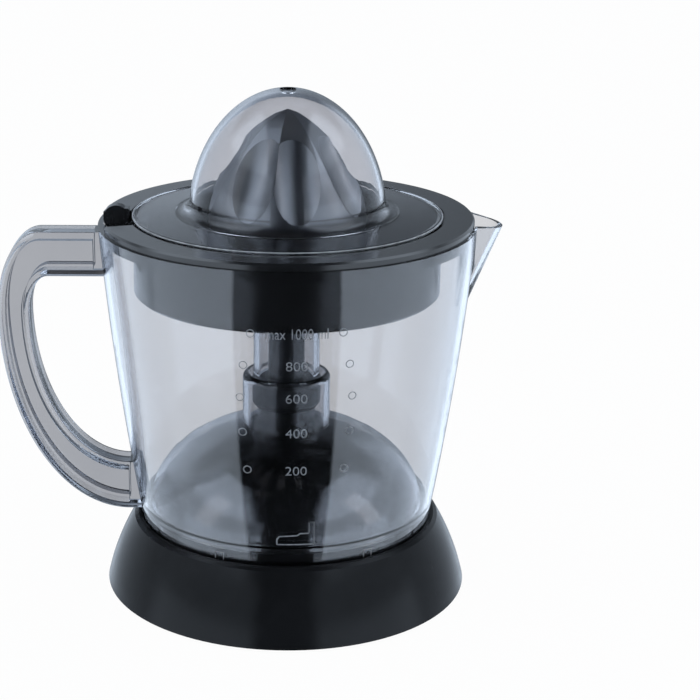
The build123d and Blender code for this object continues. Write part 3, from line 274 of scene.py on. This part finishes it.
def wall_r(z):
    """Outer radius of the jug's wall at height z, in millimetres."""
    share = (z - foot_z) / (rim_z - foot_z)
    return foot_r + (rim_r - foot_r) * share + 4 * bulge * share * (1 - share)


def on_wall(u, z, lift):
    """A point u millimetres round the wall from the front centre, lifted off the surface."""
    r = wall_r(z)
    angle = -math.pi / 2 + u / r
    return Vector(((r + lift) * math.cos(angle), (r + lift) * math.sin(angle), z)) * MM


def piece(name, mesh, material, rider="jug"):
    """A new piece that rides on a body, the jug unless another is named."""
    obj = bpy.data.objects.new(name, mesh)
    scene.collection.objects.link(obj)
    obj.data.materials.clear()
    obj.data.materials.append(material)
    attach(obj, rider)
    return obj


def number(name, words, z, height, width):
    """Raised figures that follow the wall."""
    curve = bpy.data.curves.new(name + "_curve", "FONT")
    curve.body = words
    curve.align_x = "CENTER"
    curve.align_y = "CENTER"
    curve.size = 1.0
    curve.resolution_u = 6
    curve.offset = stroke_thin
    curve.extrude = stroke_deep
    curve.bevel_depth = stroke_round
    curve.bevel_resolution = 1
    carrier = bpy.data.objects.new(name + "_carrier", curve)
    scene.collection.objects.link(carrier)
    bpy.context.view_layer.update()
    shown = carrier.evaluated_get(bpy.context.evaluated_depsgraph_get())
    mesh = bpy.data.meshes.new_from_object(shown)
    bpy.data.objects.remove(carrier)
    xs = [v.co.x for v in mesh.vertices]
    ys = [v.co.y for v in mesh.vertices]
    mid_x, mid_y = (min(xs) + max(xs)) / 2, (min(ys) + max(ys)) / 2
    wide = width / (max(xs) - min(xs))
    tall = height / (max(ys) - min(ys))
    for v in mesh.vertices:
        u = (v.co.x - mid_x) * wide + marks_u
        v.co = on_wall(u, z + (v.co.y - mid_y) * tall, figure_lift + v.co.z * figure_stand)
    # Pale colour of the figures: a painted highlight on their raised relief
    piece(name, mesh, mark_painted_highlight)


def bead(name, path, radius, closed, material):
    """A raised bead of moulded plastic that follows points (u, z) on the wall."""
    mesh = bpy.data.meshes.new(name)
    work = bmesh.new()
    sides = 6
    rings = []
    count = len(path)
    for i, (u, z) in enumerate(path):
        before = path[(i - 1) % count] if closed or i else path[i]
        after = path[(i + 1) % count] if closed or i < count - 1 else path[i]
        along = Vector((after[0] - before[0], after[1] - before[1])).normalized()
        ring = []
        for k in range(sides):
            turn = 2 * math.pi * k / sides
            side, lift = radius * math.cos(turn), radius * math.sin(turn)
            spot = on_wall(u - along.y * side, z + along.x * side, bead_lift + lift)
            ring.append(work.verts.new(spot))
        rings.append(ring)
    spans = range(count) if closed else range(count - 1)
    for i in spans:
        a, b = rings[i], rings[(i + 1) % count]
        for k in range(sides):
            n = (k + 1) % sides
            work.faces.new((a[k], b[k], b[n], a[n]))
    if not closed:
        work.faces.new(rings[0])
        work.faces.new(reversed(rings[-1]))
    bmesh.ops.recalc_face_normals(work, faces=work.faces)
    work.to_mesh(mesh)
    work.free()
    for face in mesh.polygons:
        face.use_smooth = True
    piece(name, mesh, material)


def even_path(points, step=0.5):
    """Points about a step apart along straight runs."""
    path = []
    for (u0, z0), (u1, z1) in zip(points, points[1:]):
        parts = max(1, int(math.hypot(u1 - u0, z1 - z0) / step))
        path += [(u0 + (u1 - u0) * i / parts, z0 + (z1 - z0) * i / parts) for i in range(parts)]
    return path + [points[-1]]


# Name, words, height on the wall, height and width of the figures, reach of the dots to each side
rows = (
    ("scale_1000", "max 1000 ml", 131.1, 4.2, 23.5, 17.6),
    ("scale_800", "800", 118.0, 3.7, 8.2, 20.4),
    ("scale_600", "600", 104.6, 3.7, 8.2, 21.7),
    ("scale_400", "400", 89.9, 3.7, 8.2, 20.7),
    ("scale_200", "200", 73.7, 3.7, 8.2, 18.9),
)
dot_turns = [2 * math.pi * k / dot_steps for k in range(dot_steps)]
for name, words, z, height, width, reach in rows:
    number(name, words, z, height, width)
    for side, sign in (("left", -1), ("right", 1)):
        centre = sign * reach + marks_u
        ring = [(centre + dot_r * math.cos(a), z + dot_r * math.sin(a)) for a in dot_turns]
        bead(name + "_dot_" + side, ring, dot_bead, True, mark_painted_highlight)

# The L-shaped relief low on the front and the two lugs at the foot, pale with painted highlight, the
# L's post darker with painted shade
foot_line = [(-3.4, 43.0), (-3.4, 40.6), (11.2, 40.6)]
step_line = [(-3.4, 43.0), (-2.4, 44.3), (4.6, 44.7), (5.6, 45.6), (9.0, 45.6)]
post_line = [(9.2, 45.8), (9.2, 50.6), (11.2, 50.6), (11.2, 40.6)]
bead("lock_mark_foot", even_path(foot_line), lock_bead, False, mark_painted_highlight)
bead("lock_mark_step", even_path(step_line), lock_bead, False, mark_painted_highlight)
bead("lock_mark_post", even_path(post_line), post_bead, False, mark_painted_shade)
for side, centre in (("left", -27.2), ("right", 34.5)):
    left_u, right_u = centre - lug_half, centre + lug_half
    lug = [(left_u, lug_low_z), (left_u, lug_top_z), (right_u, lug_top_z), (right_u, lug_low_z)]
    bead("foot_lug_" + side, even_path(lug), lug_bead, False, mark_painted_highlight)

# A pale ring along the edge of the lid's brim: a painted highlight that stands for the light the brim's
# edge catches
edge_r, edge_z, edge_half = 62.5, 159.05, 0.32
edge_steps, edge_sides = 160, 8
edge_mesh = bpy.data.meshes.new("brim_painted_highlight")
work = bmesh.new()
loops = []
for i in range(edge_steps):
    angle = 2 * math.pi * i / edge_steps
    loop = []
    for k in range(edge_sides):
        turn = 2 * math.pi * k / edge_sides
        r = edge_r + edge_half * math.cos(turn)
        spot = (r * math.cos(angle), r * math.sin(angle), edge_z + edge_half * math.sin(turn))
        loop.append(work.verts.new(Vector(spot) * MM))
    loops.append(loop)
for i in range(edge_steps):
    a, b = loops[i], loops[(i + 1) % edge_steps]
    for k in range(edge_sides):
        n = (k + 1) % edge_sides
        work.faces.new((a[k], b[k], b[n], a[n])).smooth = True
bmesh.ops.recalc_face_normals(work, faces=work.faces)
work.to_mesh(edge_mesh)
work.free()
piece("brim_painted_highlight", edge_mesh, edge_painted_highlight, "lid")

# The return spring is copied into a coil with a mesh of its own that rides on the base, and the
# original is hidden
spring_node = nodes["return_spring"]
coil = piece("return_coil", spring_node.data.copy(), steel, "base")
coil.matrix_world = spring_node.matrix_world.copy()
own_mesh(coil)
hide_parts("return_spring")


# Floor, lamps and world
far, floor_drop, floor_glow = 6, 0.0002, 0.97
floor_mesh = bpy.data.meshes.new("floor")
corners = [(-far, -far, 0), (far, -far, 0), (far, far, 0), (-far, far, 0)]
floor_mesh.from_pydata(corners, [], [(0, 1, 2, 3)])
floor = bpy.data.objects.new("floor", floor_mesh)
scene.collection.objects.link(floor)
floor.location.z = -floor_drop
floor.visible_glossy = False
# White to the camera and through the clear plastic, and clear to paths that a shiny surface has turned
floor_material, tree = new_material("floor_white")
lit = add(tree, "ShaderNodeBsdfDiffuse")
lit.inputs["Color"].default_value = (0.85, 0.85, 0.85, 1.0)
glow = add(tree, "ShaderNodeEmission")
glow.inputs["Strength"].default_value = 1.0
path = add(tree, "ShaderNodeLightPath")
seen = add(tree, "ShaderNodeMath", operation="MAXIMUM")
join(tree, path, "Is Camera Ray", seen, 0)
join(tree, path, "Is Transmission Ray", seen, 1)
share = add(tree, "ShaderNodeMath", operation="MULTIPLY")
share.inputs[1].default_value = floor_glow
join(tree, seen, "Value", share, 0)
blend = add(tree, "ShaderNodeMixShader")
join(tree, share, "Value", blend, 0)
tree.links.new(lit.outputs["BSDF"], blend.inputs[1])
tree.links.new(glow.outputs["Emission"], blend.inputs[2])
mirrored = add(tree, "ShaderNodeMath", operation="MINIMUM")
mirrored.inputs[1].default_value = 1.0
join(tree, path, "Glossy Depth", mirrored, 0)
open_floor = add(tree, "ShaderNodeBsdfTransparent")
whole = add(tree, "ShaderNodeMixShader")
join(tree, mirrored, "Value", whole, 0)
tree.links.new(blend.outputs["Shader"], whole.inputs[1])
tree.links.new(open_floor.outputs["BSDF"], whole.inputs[2])
end = add(tree, "ShaderNodeOutputMaterial")
join(tree, whole, "Shader", end, "Surface")
floor_mesh.materials.append(floor_material)


def lamp(name, place, aim, wide, tall, power):
    """A soft box that faces a point."""
    data = bpy.data.lights.new(name, "AREA")
    data.shape = "RECTANGLE"
    data.size = wide
    data.size_y = tall
    data.energy = power
    obj = bpy.data.objects.new(name, data)
    obj.location = place
    obj.rotation_euler = (Vector(aim) - Vector(place)).to_track_quat("-Z", "Y").to_euler()
    obj.visible_glossy = False
    scene.collection.objects.link(obj)


lamp("top_box", (-0.1, 0.0, 1.2), (0, 0, 0.1), 0.8, 0.6, 0.5)
lamp("left_box", (-0.95, -0.35, 0.55), (0, 0, 0.12), 0.35, 0.8, 1.6)
lamp("right_box", (0.95, -0.25, 0.55), (0, 0, 0.12), 0.3, 0.8, 1.6)

world = bpy.data.worlds.new("studio")
scene.world = world
world.use_nodes = True
tree = world.node_tree
tree.nodes.clear()


def number_node(operation, a, b=None):
    """A math node fed by sockets or plain numbers."""
    node = add(tree, "ShaderNodeMath", operation=operation)
    for i, value in enumerate((a, b)):
        if value is None:
            continue
        if isinstance(value, (int, float)):
            node.inputs[i].default_value = value
        else:
            tree.links.new(value, node.inputs[i])
    return node.outputs[0]


def smooth(value, low, high, at_low=0.0, at_high=1.0):
    """A smooth step between two values."""
    node = add(tree, "ShaderNodeMapRange", interpolation_type="SMOOTHSTEP")
    node.inputs["From Min"].default_value = low
    node.inputs["From Max"].default_value = high
    node.inputs["To Min"].default_value = at_low
    node.inputs["To Max"].default_value = at_high
    tree.links.new(value, node.inputs["Value"])
    return node.outputs["Result"]


def mixed(share, a, b):
    """A mix of two numbers, sockets or plain."""
    node = add(tree, "ShaderNodeMix", data_type="FLOAT")
    tree.links.new(share, node.inputs["Factor"])
    for i, value in ((2, a), (3, b)):
        if isinstance(value, (int, float)):
            node.inputs[i].default_value = value
        else:
            tree.links.new(value, node.inputs[i])
    return node.outputs[0]


# The room as shiny surfaces see it: a white table, side boxes and a backdrop, with a dark gap in front.
# Its steps run along a ray's direction: x to the right, y away from the camera and z up.
dark_level, table_level, soft_level = 0.03, 1.6, 0.6
table_mid_level, table_side_level = 0.25, 1.3
left_level, right_level, far_level = 0.62, 0.24, 1.0
low_box_level, high_box_level = 2.6, 1.3
top_level, top_back_level = 3.0, 0.2
wide_gap, narrow_gap, wide_gap_z = 0.57, 0.33, -0.54
cool, white = (0.87, 1.0, 1.16, 1.0), (1.0, 1.0, 1.0, 1.0)
tiny = 0.0001
place = add(tree, "ShaderNodeTexCoord")
way = add(tree, "ShaderNodeSeparateXYZ")
join(tree, place, "Generated", way, "Vector")
x, y, z = way.outputs["X"], way.outputs["Y"], way.outputs["Z"]
x_squared = number_node("MULTIPLY", x, x)
y_squared = number_node("MULTIPLY", y, y)
flat = number_node("SQRT", number_node("ADD", x_squared, y_squared))
across = number_node("ABSOLUTE", number_node("DIVIDE", x, number_node("ADD", flat, tiny)))
dip = number_node("ABSOLUTE", number_node("SUBTRACT", z, wide_gap_z))
half = smooth(dip, 0.05, 0.40, wide_gap, narrow_gap)
gap = smooth(number_node("SUBTRACT", across, half), -0.02, 0.03)
behind = smooth(y, -0.10, 0.12)
table_back = smooth(across, 0.12, 0.40, table_mid_level, table_side_level)
table_light = mixed(behind, mixed(gap, dark_level, table_level), table_back)
backdrop_mid = smooth(x, -0.16, 0.16, left_level, right_level)
backdrop = mixed(smooth(across, 0.30, 0.50), backdrop_mid, far_level)
side_light = smooth(z, 0.10, 0.20, low_box_level, high_box_level)
room_light = mixed(behind, mixed(gap, dark_level, side_light), backdrop)
box_gap = smooth(number_node("ABSOLUTE", x), 0.34, 0.46)
box_light = mixed(smooth(y, 0.15, 0.50), mixed(box_gap, dark_level, top_level), top_back_level)
lower = mixed(smooth(z, -0.30, -0.16), table_light, room_light)
shine = mixed(smooth(z, 0.46, 0.58), lower, box_light)

# The camera sees plain white, also through the clear plastic, shiny surfaces see the room and others a
# soft fill. The world isn't sampled as a lamp, because its light differs by the kind of path.
paths = add(tree, "ShaderNodeLightPath")
glossy = number_node("MAXIMUM", paths.outputs["Glossy Depth"], paths.outputs["Is Glossy Ray"])
mirrored = number_node("MINIMUM", glossy, 1.0)
bounced = number_node("MINIMUM", paths.outputs["Diffuse Depth"], 1.0)
seen = number_node("MAXIMUM", paths.outputs["Is Camera Ray"], paths.outputs["Is Transmission Ray"])
clear = number_node("SUBTRACT", seen, number_node("MAXIMUM", mirrored, bounced))
clear = number_node("MAXIMUM", clear, 0.0)
soft = mixed(mirrored, soft_level, shine)
level = mixed(clear, soft, 1.0)
hue = add(tree, "ShaderNodeMix", data_type="RGBA")
tree.links.new(clear, hue.inputs["Factor"])
hue.inputs[6].default_value = cool
hue.inputs[7].default_value = white
sky = add(tree, "ShaderNodeBackground")
tree.links.new(hue.outputs[2], sky.inputs["Color"])
tree.links.new(level, sky.inputs["Strength"])
world.cycles.sampling_method = "NONE"
end = add(tree, "ShaderNodeOutputWorld")
join(tree, sky, "Background", end, "Surface")
